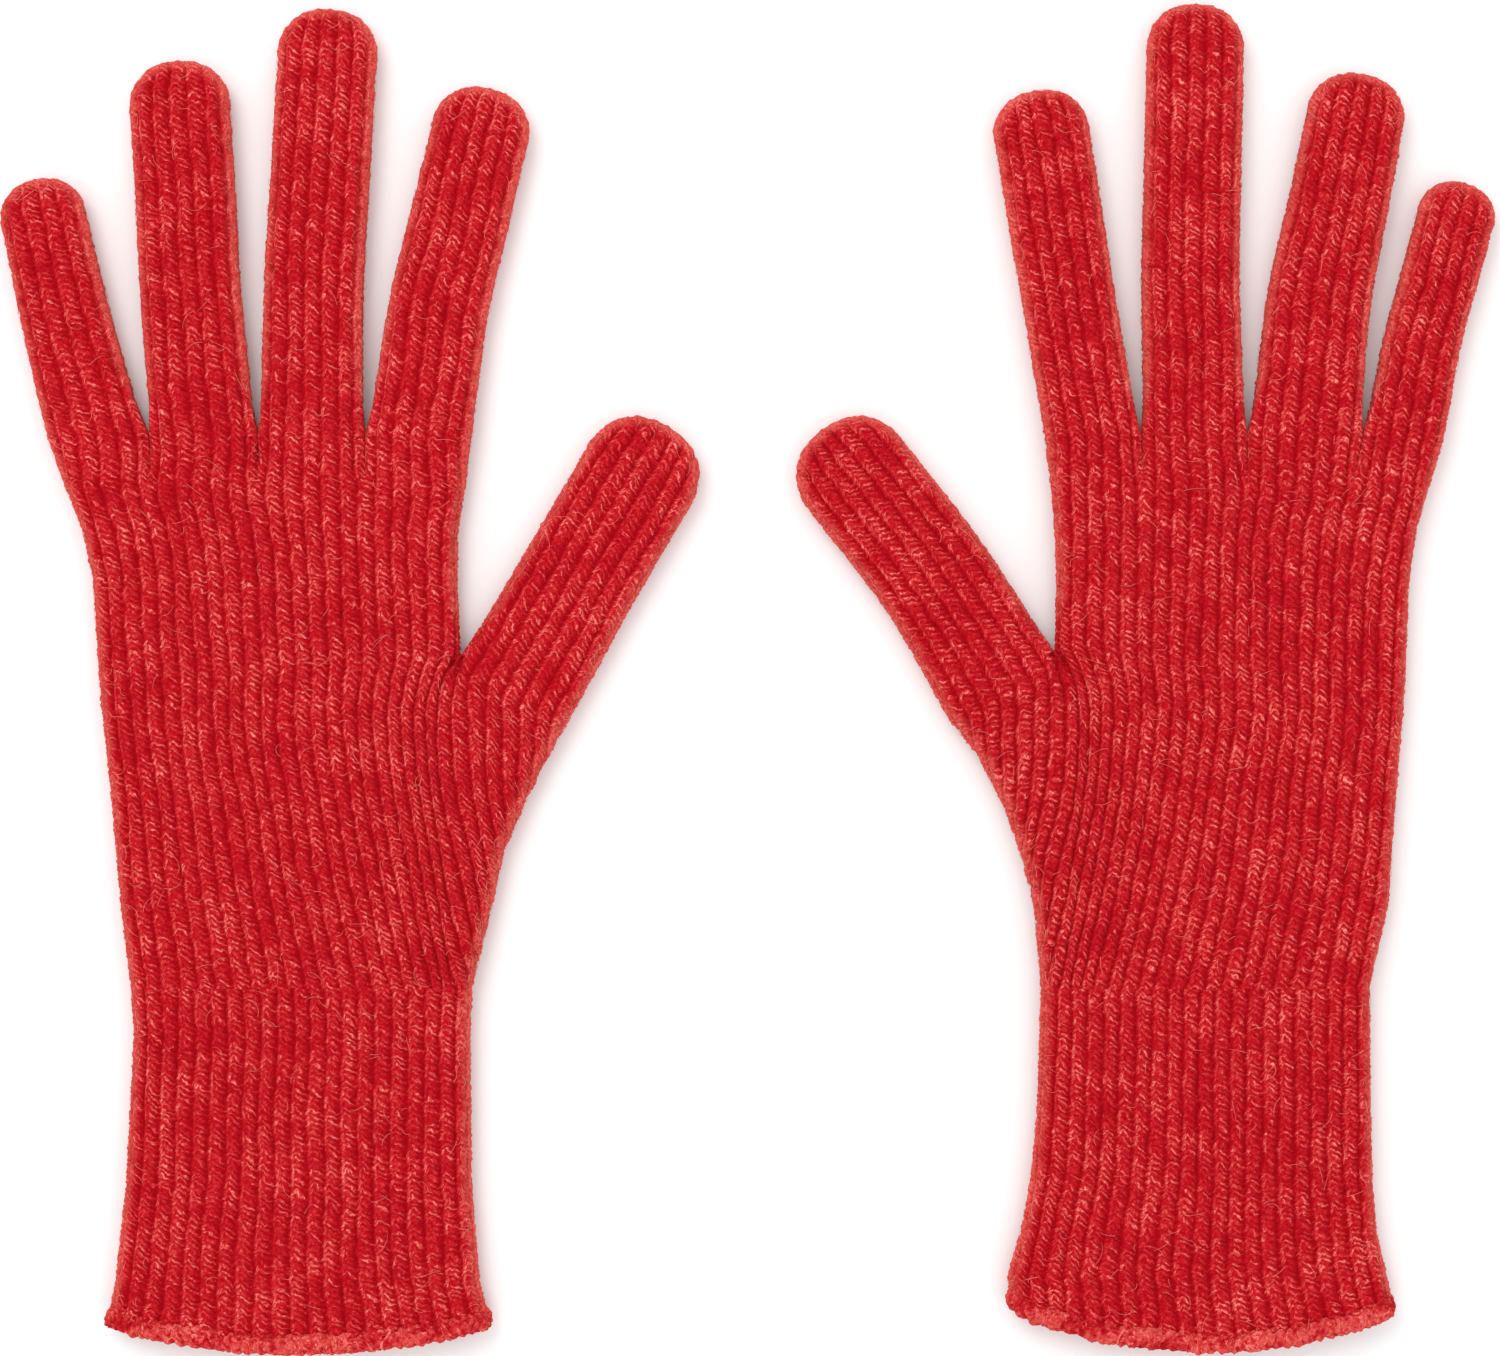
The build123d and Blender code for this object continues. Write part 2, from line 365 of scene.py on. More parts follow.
class Glove:
    """One glove's outlines in (u, y): u runs across the pair, towards this glove's thumb."""

    def __init__(self, hand):
        self.hand = hand
        self.side = 1 if hand == "right" else -1
        self.wrist = self.flip(joint_plan(f"{hand}_wrist_fold")[0])

    def flip(self, point):
        return np.array([self.side * point[0], point[1]])

    def node(self, name):
        return f"{self.hand}_{name}"

    def points(self, name):
        """A node's vertices as (u, y, z)."""
        return MESHES[self.node(name)][0] * [self.side, 1, 1]

    def chord(self, name, point, across):
        """A node's two side edges on the line through a (u, y) point, little-finger side first."""
        ends = span(self.node(name), self.flip(point), self.flip(across))
        ends = sorted((self.flip(end) for end in ends), key=lambda end: end[0])
        return ends[0], ends[1]

    def edges(self, name, ys):
        """A node's two side edges at each y, as u values."""
        found = [self.chord(name, (0, y), (1, 0)) for y in ys]
        return np.array([a[0] for a, _ in found]), np.array([b[0] for _, b in found])

    def fold(self, name):
        """A fold's (u, y) point, the direction along it and the direction away from the hand."""
        point, along = joint_plan(self.node(name))
        along = self.flip(along)
        along = along * np.sign(along[0])
        return self.flip(point), along, np.array([-along[1], along[0]])


def finger_names(finger):
    """A finger's stretches, and the folds that they start at."""
    if finger == "thumb":
        return ("base", "tip"), ("root_fold", "tip_fold")
    return ("base", "middle", "tip"), ("knuckle", "middle_fold", "tip_fold")


def finger_chords(glove, finger, root):
    """The chords across a finger at its root, at its folds and below its closed end, with their
    middles, and the closed end's direction and length."""
    stretches, folds = finger_names(finger)
    chords = [root]
    middles = [(np.asarray(root[0]) + root[1]) / 2]
    for below, fold in zip(stretches, folds[1:]):
        point, along, onward = glove.fold(f"{finger}_{fold}")
        a, b = glove.chord(f"{finger}_{below}", point - onward * INSIDE, along)
        half_width = norm(b - a) / 2
        chords.append((point - along * half_width, point + along * half_width))
        middles.append(point)
    tip = glove.points(f"{finger}_tip")[:, :2]
    corners = [tip[(tip @ (onward + lean * along)).argmax()] for lean in (-0.5, 0.5)]
    chords.append(tuple(corners))
    middles.append((corners[0] + corners[1]) / 2)
    along = unit(corners[1] - corners[0])
    onward = np.array([-along[1], along[0]])
    cap_length = ((glove.points(f"{finger}_closure")[:, :2] - middles[-1]) @ onward).max()
    return chords, middles, onward, cap_length


def finger_sections(glove, finger, root, ribs, first_rib):
    """The sections of a finger or thumb that starts at the chord root = (a, b)."""
    chords, middles, onward, cap_length = finger_chords(glove, finger, root)
    steps = [norm(b - a) for a, b in zip(middles, middles[1:])]
    knots = running_total(steps)
    left, right = (np.array(side) for side in zip(*chords))
    n = ribs * COLUMNS_PER_RIB
    rib_line = first_rib + ribs * np.arange(n + 1) / n
    by_crotch = np.where(np.arange(n + 1) < n / 2, *NEIGHBOURS[finger])
    sections, course = {}, 0.0
    for k, name in enumerate(finger_names(finger)[0]):
        rows = count_rows(knots[k + 1] - knots[k])
        at = np.linspace(knots[k], knots[k + 1], rows + 1)
        at[-1] -= 1e-6  # at the knot itself the curve's next piece starts
        courses = course + np.arange(rows + 1) / ROWS_PER_COURSE
        course = courses[-1]
        a, b = curve_through(knots, left, at), curve_through(knots, right, at)
        plan, half, inset = flat_tube(a, b, n)
        press = (1 - smooth(at / TOUCH_LENGTH))[:, None] * (1 - smooth(inset / TOUCH_WIDTH))
        no_rim = (1 - smooth(at / CROTCH_RIM_FADE))[:, None] * by_crotch
        section = Section(plan, half, inset + RIM_WIDTH * no_rim, *lines(rib_line, courses))
        section.touch = press * by_crotch
        sections[name] = section
    sections["closure"] = cap_section(chords[-1], onward, cap_length, n, rib_line, course)
    return sections


def lines(rib_line, courses):
    """Rib and course coordinates of a plain grid."""
    shape = (len(courses), len(rib_line))
    return np.broadcast_to(rib_line, shape).copy(), np.broadcast_to(courses[:, None], shape).copy()


def flat_tube(a, b, n):
    """Plan, half thickness and inset of a flattened tube with side edges a and b at each row."""
    width = norm(b - a, axis=1)
    share = np.array([even_fractions(w, n) for w in width])
    plan = a[:, None] + (b - a)[:, None] * share[..., None]
    inset = np.minimum(share, 1 - share) * width[:, None]
    return plan, half_thickness(inset, width[:, None]), inset


def cap_section(ends, onward, length, n, rib_line, course):
    """The closed end of a finger: its ribs gather towards one point of a rounded outline."""
    a, b = ends
    centre, half_width = (a + b) / 2, norm(b - a) / 2
    across = (b - a) / (2 * half_width)
    fine = np.linspace(0, 1, 400)
    z = half_thickness((1 - fine) * half_width, 2 * half_width)
    arc = running_total(np.hypot(np.diff(fine) * length, np.diff(z)))
    rows = count_rows(arc[-1])
    t = np.interp(np.linspace(0, arc[-1], rows + 1), arc, fine)[:-1]
    narrow = (1 - t**CAP_POWER) ** (1 / CAP_POWER)
    share = 2 * even_fractions(2 * half_width, n) - 1
    offset = share[None] * narrow[:, None]
    plan = centre + across * (offset * half_width)[..., None] + onward * (t * length)[:, None, None]
    radial = (np.abs(offset) ** CAP_POWER + t[:, None] ** CAP_POWER) ** (1 / CAP_POWER)
    inset = (1 - np.minimum(radial, 1)) * half_width
    half = half_thickness(inset, 2 * half_width)
    courses = course + np.arange(rows) / ROWS_PER_COURSE
    rib, course = lines(rib_line, courses)
    for row, squeeze in enumerate(mix(1, narrow, CAP_SQUEEZE)):
        rib[row] = np.interp(offset[row] / squeeze, share, rib_line)
    section = Section(plan, half, inset, rib, course)
    section.pole = centre + onward * length
    section.gather = smooth(narrow / CAP_GATHER)
    return section


def finger_line(glove, first, last, y):
    """Where the fingers part. Gives the u of each finger's two side edges, each finger's first rib,
    and for every column of the palm its u, half thickness and rib there."""
    roots = [glove.chord(f"{finger}_base", (0, y + INSIDE), (1, 0)) for finger in FINGERS]
    edges = [first] + [(a[1][0] + b[0][0]) / 2 for a, b in zip(roots, roots[1:])] + [last]
    us, halves, ribs = [[first]], [[0.0]], [[0.0]]
    first_ribs = {}
    for finger, a, b in zip(FINGERS, edges, edges[1:]):
        count = FINGER_RIBS[finger] * COLUMNS_PER_RIB
        share = even_fractions(b - a, count)[1:]
        first_ribs[finger] = sum(FINGER_RIBS[other] - 1 for other in first_ribs)
        us.append(a + (b - a) * share)
        halves.append(lobe_half(share, b - a))
        ribs.append(first_ribs[finger] + np.arange(1, count + 1) / COLUMNS_PER_RIB)
    return edges, first_ribs, *(np.concatenate(v) for v in (us, halves, ribs))


def hand_sections(glove):
    """The upper and lower hand, and the chords where the thumb and the fingers start."""
    low, high = node_low(glove.node("upper_hand"))[1], node_high(glove.node("upper_hand"))[1]
    finger_y = glove.fold("index_knuckle")[0][1]
    ys = np.linspace(low + JUST_INSIDE, high - JUST_INSIDE, 24)
    left, right = glove.edges("upper_hand", ys)
    crotch = np.array([right[0], low])
    edges, first_ribs, line_u, line_half, line_rib = finger_line(glove, left[-1], right[-1], finger_y)

    # each finger takes in one more rib than the palm below it has: the ribs beside a crotch are
    # born there, half a rib to each finger
    n = len(line_u) - 1
    palm_rib = 0.5 + PALM_RIBS * np.arange(n + 1) / n
    lower_rows = count_rows(low - glove.wrist[1])
    lower_courses = np.arange(lower_rows + 1) / ROWS_PER_COURSE

    rows = count_rows(finger_y - low)
    y = np.linspace(low, finger_y, rows + 1)
    a = np.stack([np.interp(y, ys, left), y], axis=1)
    b = np.stack([np.interp(y, ys, right), y], axis=1)
    plan, half, _ = flat_tube(a, b, n)
    part = smooth((y - (finger_y - LOBE_LENGTH)) / LOBE_LENGTH)[:, None]
    line_share = (line_u - edges[0]) / (edges[-1] - edges[0])
    plan[..., 0] = mix(plan[..., 0], a[:, :1] + (b - a)[:, :1] * line_share, part)
    half = mix(half, line_half, part**1.5)
    inset = np.minimum(plan[..., 0] - a[:, :1], b[:, :1] - plan[..., 0])
    half = with_web(half, inset)
    by_crotch = np.arange(n + 1) > n / 2
    inset = inset + RIM_WIDTH * (1 - smooth((y - low) / CROTCH_RIM_FADE))[:, None] * by_crotch
    courses = lower_courses[-1] + np.arange(rows + 1) / ROWS_PER_COURSE
    rib, course = lines(palm_rib, courses)
    upper = Section(plan, half, inset, mix(rib, line_rib, part), course)

    lower, thumb_root = lower_hand_section(glove, crotch, upper, lower_courses)
    finger_roots = {
        finger: (np.array([a, finger_y]), np.array([b, finger_y]), first_ribs[finger])
        for finger, a, b in zip(FINGERS, edges, edges[1:])
    }
    return upper, lower, thumb_root, finger_roots


def lower_hand_edges(glove, crotch, upper, f, y):
    """The lower hand's side edges at each row: the little finger's side as u at each y, and the
    thumb's side as points, up to the outer corner of the thumb's root. Also that corner."""
    co = glove.points("lower_hand")
    corner = co[co[:, 0].argmax(), :2]
    ys = np.linspace(node_low(glove.node("lower_hand"))[1] + JUST_INSIDE, crotch[1] - JUST_INSIDE, 40)
    left, right = glove.edges("lower_hand", ys)
    edge = np.interp(y, ys, left)
    edge[-1] = upper.plan[0, 0, 0]
    outer_y = np.linspace(ys[0], corner[1], 40)
    outer_u = np.interp(outer_y, ys, right)
    outer_u[-1] = corner[0]
    arc = running_total(np.hypot(np.diff(outer_u), np.diff(outer_y)))
    at = f * arc[-1]
    outer = np.stack([np.interp(at, arc, outer_u), np.interp(at, arc, outer_y)], axis=1)
    outer[0, 1] = glove.wrist[1]
    return edge, outer, right[0], corner


def lobed_rows(edge, border, outer, upright, shift, n_palm, n_gusset):
    """For each row, the u of the palm's columns as part of one tube (single) and as a tube of their
    own (own), their half thickness then, and the thumb's columns' shares of their part of one tube."""
    single, own, own_half, gusset_share = [], [], [], []
    for a, b, o, c, d in zip(edge, border, outer, upright, shift):
        width = c - a
        share = 2 * even_fractions(2 * width, 2 * n_palm)[: n_palm + 1]
        single.append(a + width * share - d * share**GUSSET_LEAN)
        share = even_fractions(width, n_palm)
        own.append(a + width * share - d * share**GUSSET_LEAN)
        own_half.append(lobe_half(share, width))
        gusset_width = max(norm(o - [b, o[1]]), 1.0)
        gusset_share.append(2 * even_fractions(2 * gusset_width, 2 * n_gusset)[n_gusset:] - 1)
    return (np.array(values) for values in (single, own, own_half, gusset_share))


def lower_hand_section(glove, crotch, upper, courses):
    """The palm below the thumb's crotch, with the thumb's ribs growing out of its side."""
    f = np.linspace(0, 1, len(courses))
    y = mix(glove.wrist[1], crotch[1], f)
    n_palm, n_gusset = upper.n, THUMB_RIBS * COLUMNS_PER_RIB
    edge, outer, right_at_wrist, corner = lower_hand_edges(glove, crotch, upper, f, y)
    upright = mix(right_at_wrist - GUSSET_AT_WRIST + GUSSET_SHIFT, crotch[0], smooth(f))
    shift = GUSSET_SHIFT * (1 - np.exp(-GUSSET_SLOPE / GUSSET_SHIFT * (crotch[1] - y)))
    border = upright - shift
    single, own, own_half, gusset_share = lobed_rows(
        edge, border, outer, upright, shift, n_palm, n_gusset
    )

    # the two tubes part towards the crotch
    part = smooth((y - (crotch[1] - LOBE_LENGTH)) / LOBE_LENGTH)[:, None]
    u = mix(single, own, part)
    palm = np.stack([u, np.broadcast_to(y[:, None], u.shape)], axis=2)
    root_length = norm(corner - crotch)
    root_share = even_fractions(root_length, n_gusset)
    v = np.clip(mix(gusset_share, root_share, part), 0, 1)
    start = np.stack([border, y], axis=1)[:, None]
    run = outer[:, None] - start
    bend = mix(1.7, 1.0, smooth((f - 0.75) / 0.25))[:, None]
    gusset = start + np.stack([run[..., 0] * v, run[..., 1] * v**bend], axis=2)
    plan = np.concatenate([palm, gusset[:, 1:]], axis=1)

    inset = np.minimum(plan[..., 0] - edge[:, None], outer[:, :1] - plan[..., 0])
    flat = half_thickness(np.maximum(inset, 0), (outer[:, 0] - edge)[:, None])
    root_half = np.broadcast_to(lobe_half(root_share, root_length)[1:], (len(f), n_gusset))
    half = with_web(mix(flat, np.concatenate([own_half, root_half], axis=1), part**1.5), inset)

    # the cuff's ribs run on at the wrist; more of them come in with the thumb's on the way up
    length = norm(np.diff(gusset, axis=1), axis=2).sum(1)[:, None]
    length = length + ROUND_EXTRA * (1 + part)
    extra = THUMB_RIBS * length / length[-1]
    border_rib = mix(CUFF_RIBS - extra[0], PALM_RIBS, 1 - (1 - f[:, None]) ** 2)
    palm_rib = 0.5 + border_rib * np.arange(n_palm + 1) / n_palm
    gusset_rib = palm_rib[:, -1:] + extra * (np.arange(1, n_gusset + 1) / n_gusset)
    rib = np.concatenate([palm_rib, gusset_rib], axis=1)
    course = np.broadcast_to(courses[:, None], rib.shape).copy()
    section = Section(plan, half, np.maximum(inset, 0), rib, course, fade_low=True)
    return section, (crotch, corner)


def cuff_section(glove):
    """The cuff, from the curve where its cast-on edge begins up to the wrist."""
    edge_low = node_low(glove.node("cuff_edge"))[1]
    mouth = edge_low + HEM
    co = glove.points("cuff_edge")
    corner = co[co[:, 0].argmin()]
    middle, wrist_y = glove.wrist
    rise, run = corner[1] - edge_low, middle - corner[0]
    radius = (run**2 + rise**2) / (2 * rise) - HEM
    centre_y = mouth + radius
    ys = np.linspace(corner[1] + CUFF_CORNER, node_high(glove.node("cuff"))[1] - JUST_INSIDE, 40)
    left, right = glove.edges("cuff", ys)
    slopes = [np.polyfit(ys[:3], side[:3], 1) for side in (left, right)]

    def sides_at(y):
        return [
            np.where(y < ys[0], np.polyval(slope, y), np.interp(y, ys, side))
            for side, slope in zip((left, right), slopes)
        ]

    n = CUFF_RIBS * CUFF_COLUMNS_PER_RIB
    rows = count_rows(wrist_y - (mouth + corner[1]) / 2)
    f = np.linspace(0, 1, rows + 1)[:, None]
    width = right[0] - left[0]
    v = even_fractions(width, n)[None]
    curve = np.full((1, n + 1), mouth)
    for _ in range(4):  # the side edges depend on the curve's y, and its y on them
        u = mix(*sides_at(curve), v)
        curve = centre_y - np.sqrt(radius**2 - (u - middle) ** 2)
    y = mix(curve, wrist_y, f)
    a, b = sides_at(y)
    plan = np.stack([mix(a, b, v), y], axis=2)
    inset = np.minimum(v, 1 - v) * (b - a)
    half = half_thickness(inset, b - a)
    rib_line = 0.5 + CUFF_RIBS * np.arange(n + 1) / n
    rib, course = lines(rib_line, np.arange(rows + 1) / ROWS_PER_COURSE)
    return Section(plan, half, inset, rib, course, fade_high=True)


# ---- from sections to meshes

def kept_rows(rows):
    """The outer face's rows that the inner face has too."""
    count = max(2, round(rows / INNER_ROW_STEP) + 1)
    return np.linspace(0, rows - 1, count).round().astype(int)


def inner_skin(section):
    """The inner face's rows, in the form of Section.base()."""
    plan, half = section.plan.copy(), np.maximum(section.half - CLOTH, INNER_WEB)
    pole = None
    if section.pole is not None:
        start = plan[0, section.n // 2]
        axis = section.pole - start
        length = norm(axis)
        axis = axis / length
        across = np.array([axis[1], -axis[0]])
        half_width = norm(plan[0, -1] - plan[0, 0]) / 2
        out, side = (plan - start) @ axis, (plan - start) @ across
        out, side = out * (1 - CLOTH / length), side * (1 - CLOTH / half_width)
        plan = start + out[..., None] * axis + side[..., None] * across
        pole = start + axis * (length - CLOTH)
    else:
        for edge, next_to_it in ((0, 4), (-1, -5)):
            start = section.plan[:, edge]
            inward = unit(section.plan[:, next_to_it] - start)[:, None]
            inset = norm(section.plan - start[:, None], axis=2)
            plan += inward * (CLOTH * np.clip(1 - inset / INNER_REACH, 0, 1))[..., None]
    inner = Section(plan, half, section.inset, section.rib, section.course)
    kept = kept_rows(len(plan))
    points = inner.base()[kept]
    wave = INNER_WAVE * np.cos(2 * math.pi * section.knit()[0][kept])
    return points + grid_normals(points) * wave[..., None], pole


def average_at_joins(sections):
    """Sections that share a boundary get the same normals there, so that they stay joined."""
    rows = [(s, i) for s in sections for i in s.open_ends()]
    tree = kdtree.KDTree(sum(s.grid.shape[1] for s, _ in rows))
    normals = []
    for section, i in rows:
        for point, normal in zip(section.grid[i], section.normals[i]):
            tree.insert(point, len(normals))
            normals.append(normal)
    tree.balance()
    normals = np.array(normals)
    for section, i in rows:
        for j, point in enumerate(section.grid[i]):
            near = [index for _, index, _ in tree.find_range(point, SAME_PLACE)]
            section.normals[i, j] = unit(normals[near].sum(0))


def round_edges(x, y, z):
    """Plan coordinates for a ripple that goes on changing down an upright side edge."""
    return x + 0.8 * z, y - 0.6 * z


def shape_section(glove, section, seed):
    """The outer face with its relief. The section gets its vertices' depth and rim."""
    x, y, z = np.moveaxis(section.grid * [glove.side, 1, 1], 2, 0)
    rib, course = section.knit()
    # both gloves are knitted the same way round, so the thin leg is on the same side of each rib
    sign = np.where(np.arange(2 * section.n) <= section.n, 1, -1)
    section.rib_used = glove.side * (rib + ripples(x, y, WOBBLE) * sign)
    section.course_used = course + ripples(x, y, SLIP)
    wander = RIM_WANDER * ripple(x, y, 4, 8)
    section.rim = 1 - smooth((all_round(section.inset) + wander) / RIM_WIDTH)
    flat = RIM_FLAT if section.pole is None else CAP_RIM_FLAT
    depth = mix(relief(section.rib_used, section.course_used), RIM_DEPTH, flat * section.rim)
    rough = np.random.default_rng(seed).normal(0, ROUGH, depth.shape)
    rough[0] = rough[-1] = 0
    depth = depth + rough + UNEVEN * ripple(x, y, 3.1, 7) - SETTLE
    depth = depth + FUZZ_HEIGHT * section.rim * ripple(*round_edges(x, y, z), 1.5, 9)
    depth = mix(depth, TOUCH_DEPTH, all_round(section.touch))
    if section.pole is not None:
        depth = mix(POLE_DEPTH, depth, section.gather[:, None])
    section.depth = mix(JOIN_DEPTH, depth, 0.5 + 0.5 * end_fade(section, section.grid))
    return section.grid + section.normals * section.depth[..., None]


def ring(first, count):
    """Vertex indices of consecutive rings' vertices, with the first one repeated at the end."""
    index = first + np.arange(count)
    return np.append(index, first)


def stray_fibres(section, seed):
    """Loose hairs that lie over the ribs, thickest along the silhouette edges: the vertices and
    faces of thin closed tubes."""
    rng = np.random.default_rng(seed)
    rows, m = section.rim.shape
    likely = (1 + EDGE_FIBRES * section.rim[1:-1]).ravel()
    count = int(FIBRES_PER_VERTEX * likely.sum())
    picked = rng.choice(likely.size, count, p=likely / likely.sum())
    row, column = 1 + picked // m, picked % m
    by_rim = section.rim[row, column]

    # a curling path over the grid
    s = np.linspace(0, 1, FIBRE_STEPS)
    heading = rng.uniform(0, 2 * math.pi, (count, 1))
    heading = heading + rng.uniform(-FIBRE_CURL, FIBRE_CURL, (count, 1)) * s
    step = rng.uniform(*FIBRE_LENGTHS, count) * mix(1, 0.45, by_rim) / (FIBRE_STEPS - 1)
    row_gap = COURSE / ROWS_PER_COURSE
    column_gap = norm(np.diff(section.grid[rows // 2], axis=0), axis=1).mean()
    i = row[:, None] + np.cumsum(np.cos(heading) * step[:, None], axis=1) / row_gap
    j = column[:, None] + np.cumsum(np.sin(heading) * step[:, None], axis=1) / column_gap
    i = np.clip(i, 0, rows - 1.001)
    base, normal = on_grid(section.grid, i, j), on_grid(section.normals, i, j)
    arch = rng.uniform(0.15, 0.4, (count, 1)) * np.sin(math.pi * s) ** 0.7
    lift = arch - FIBRE_SUNK - FIBRE_SUNK_AT_RIM * by_rim[:, None]
    path = base + normal * lift[..., None]

    side = unit(np.cross(normal, np.gradient(path, axis=1)))
    angle = 2 * math.pi * np.arange(FIBRE_SIDES) / FIBRE_SIDES
    across = np.cos(angle)[:, None] * side[:, :, None] + np.sin(angle)[:, None] * normal[:, :, None]
    radius = FIBRE_RADIUS * (1 - 0.6 * s)
    tube = path[:, :, None] + radius[:, None, None] * across

    index = np.arange(count * FIBRE_STEPS * FIBRE_SIDES).reshape(count, FIBRE_STEPS, FIBRE_SIDES)
    beside = np.roll(index, -1, axis=2)
    walls = np.stack([index[:, :-1], beside[:, :-1], beside[:, 1:], index[:, 1:]], axis=3)
    return tube.reshape(-1, 3), [walls.reshape(-1, 4), index[:, 0, ::-1], index[:, -1]]


def on_grid(values, i, j):
    """A grid's values at fractional rows i and columns j; the columns close on themselves."""
    i0, j0 = np.floor(i).astype(int), np.floor(j).astype(int)
    fi, fj = (i - i0)[..., None], (j - j0)[..., None]
    j0, j1 = j0 % values.shape[1], (j0 + 1) % values.shape[1]
    low = mix(values[i0, j0], values[i0, j1], fj)
    high = mix(values[i0 + 1, j0], values[i0 + 1, j1], fj)
    return mix(low, high, fi)


def grid_faces(rings):
    """Quads between consecutive rings."""
    quads = [rings[:-1, :-1], rings[:-1, 1:], rings[1:, 1:], rings[1:, :-1]]
    return np.stack(quads, axis=2).reshape(-1, 4)


def add_object(name, data):
    obj = bpy.data.objects.new(name, data)
    bpy.context.scene.collection.objects.link(obj)
    return obj


def add_mesh(glove, name, vertices, faces, material):
    """A smooth piece, from vertices in mm as (u, y, z) and groups of faces."""
    mesh = bpy.data.meshes.new(name)
    co = vertices * [glove.side * MM, MM, MM]
    mesh.from_pydata(co.tolist(), [], [f for group in faces for f in group.tolist()])
    mesh.shade_smooth()
    mesh.materials.append(material)
    return add_object(name, mesh)


def outward(glove, faces):
    """The left glove's u runs against x, so its faces turn round."""
    return faces if glove.side > 0 else [group[:, ::-1] for group in faces]


def write_yarn(mesh, knit, rim):
    """Corner attribute knit = (rib, course, depth), and point attribute rim."""
    knit = mesh.attributes.new("knit", "FLOAT_VECTOR", "CORNER"), "vector", knit
    rim = mesh.attributes.new("rim", "FLOAT", "POINT"), "value", rim
    for attribute, field, values in (knit, rim):
        attribute.data.foreach_set(field, values.astype(np.float32).ravel())


def make_piece(glove, name, section, points, material, seed):
    """A closed mesh: outer face, inner face and the rims between them, and its stray fibres."""
    rows, m = points.shape[:2]
    inner, inner_pole = inner_skin(section)
    vertices = [points.reshape(-1, 3), inner.reshape(-1, 3)]
    outer_ring = np.array([ring(i * m, m) for i in range(rows)])
    inner_ring = np.array([ring((rows + i) * m, m) for i in range(len(inner))])
    rim_low = grid_faces(np.stack([inner_ring[0], outer_ring[0]]))
    faces = [grid_faces(outer_ring), grid_faces(inner_ring)[:, ::-1], rim_low]
    if section.pole is None:
        faces.append(grid_faces(np.stack([outer_ring[-1], inner_ring[-1]])))
    else:
        top = (rows + len(inner)) * m
        vertices.append(np.array([[*section.pole, HALF], [*inner_pole, HALF]]))
        a, b = outer_ring[-1, :-1], outer_ring[-1, 1:]
        faces.append(np.stack([a, b, np.full(m, top)], axis=1))
        a, b = inner_ring[-1, :-1], inner_ring[-1, 1:]
        faces.append(np.stack([b, a, np.full(m, top + 1)], axis=1))
    fibres, fibre_faces = stray_fibres(section, seed)
    first = sum(len(v) for v in vertices)
    faces = outward(glove, faces + [f + first for f in fibre_faces])
    obj = add_mesh(glove, name, np.concatenate([*vertices, fibres]), faces, material)
    mark_rims(obj.data, [skin[i] for i in section.open_ends() for skin in (outer_ring, inner_ring)])
    write_knit(obj.data, section, faces)
    return obj


def mark_rims(mesh, rings):
    """The edges of the rims are sharp."""
    which = np.zeros(len(mesh.vertices), int)
    for number, indices in enumerate(rings):
        which[indices] = number + 1
    ends = np.empty(len(mesh.edges) * 2, int)
    mesh.edges.foreach_get("vertices", ends)
    a, b = which[ends.reshape(-1, 2)].T
    sharp = mesh.attributes.new("sharp_edge", "BOOLEAN", "EDGE")
    sharp.data.foreach_set("value", (a > 0) & (a == b))


def write_knit(mesh, section, faces):
    """The yarn's attributes on a section: outer face, inner face, poles and fibres."""
    rows, m = section.depth.shape
    kept = kept_rows(rows)
    grids = (rows + len(kept)) * m
    poles = 0 if section.pole is None else 2
    fibres = len(mesh.vertices) - grids - poles

    def per_vertex(values, inner, pole, fibre):
        ends = [np.full(poles, pole), np.full(fibres, fibre)]
        return np.concatenate([values.ravel(), inner.ravel(), *ends])

    no_rim = np.zeros((len(kept), m))
    last_course = section.course_used[-1].mean()
    rib = per_vertex(section.rib_used, section.rib_used[kept], 0.5, 0.5)
    course = per_vertex(section.course_used, section.course_used[kept], last_course, 0.0)
    depth = per_vertex(section.depth, no_rim + INNER_SHADE, POLE_DEPTH, 0.0)
    rim = per_vertex(section.rim, no_rim, 1.0, HAIR_SHEEN_RIM)
    corners = np.concatenate([f.ravel() for f in faces])
    sizes = np.concatenate([np.full(len(f), f.shape[1]) for f in faces])
    value = rib[corners]
    # a face on the back whose corner lies on a side edge takes that corner's rib with its sign turned
    column = np.where(corners < grids, corners % m, -1)
    starts = running_total(sizes)[:-1]
    on_back = np.repeat(np.maximum.reduceat(column > section.n, starts), sizes)
    on_edge = (column == 0) | (column == section.n)
    value = np.where(on_back & on_edge, -value, value)
    value = np.where(column < 0, 0.5 * np.sign(value), value)
    write_yarn(mesh, np.stack([value, course[corners], depth[corners]], axis=1), rim)


# ---- the cast-on edge

def round_ring(values, at):
    """A closed ring's values at fractional positions round it."""
    k = np.arange(len(values) + 1)
    return np.stack([np.interp(at, k, np.append(v, v[0])) for v in values.T], axis=1)


def squarish(wave):
    """A sine or cosine with fuller shoulders."""
    return np.sign(wave) * np.abs(wave) ** 0.8


